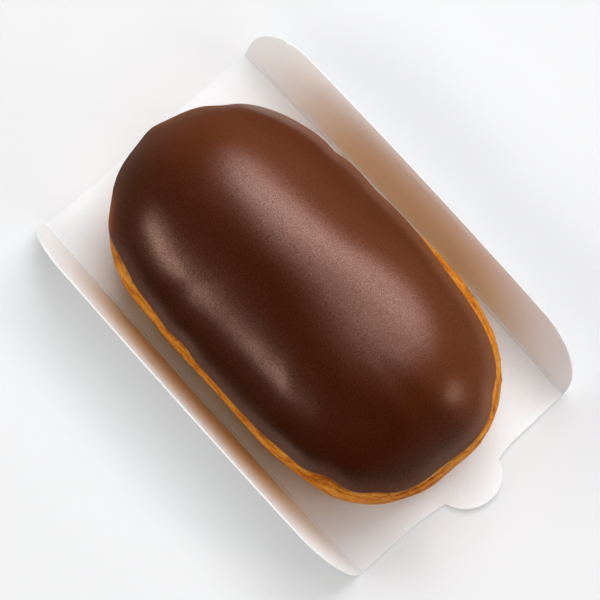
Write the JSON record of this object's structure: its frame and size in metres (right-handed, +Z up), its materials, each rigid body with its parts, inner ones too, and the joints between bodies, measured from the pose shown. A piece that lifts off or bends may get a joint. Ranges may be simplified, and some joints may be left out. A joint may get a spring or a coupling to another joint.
{
  "type": "mini eclair",
  "caption": "Oval choux bun under a smooth dark chocolate icing cap with a wavy edge, lying in a white card tray with two folded sides and a round pull tab.",
  "frame": {"origin": "on the surface it stands on, under the middle of the whole thing's bounding box", "axes": "+X along the bun towards the card's round tab, +Y across it, +Z up"},
  "size_m": [0.0909, 0.059, 0.0325],
  "materials": {
    "choux": "baked crust, golden brown, dry and slightly wrinkled",
    "icing": "set dark chocolate icing, soft satin gloss",
    "card": "white coated board, soft sheen"
  },
  "bodies": {
    "root": {"choux_bun": "choux", "chocolate_icing": "icing", "card_tray": "card"}
  },
  "joints": []
}
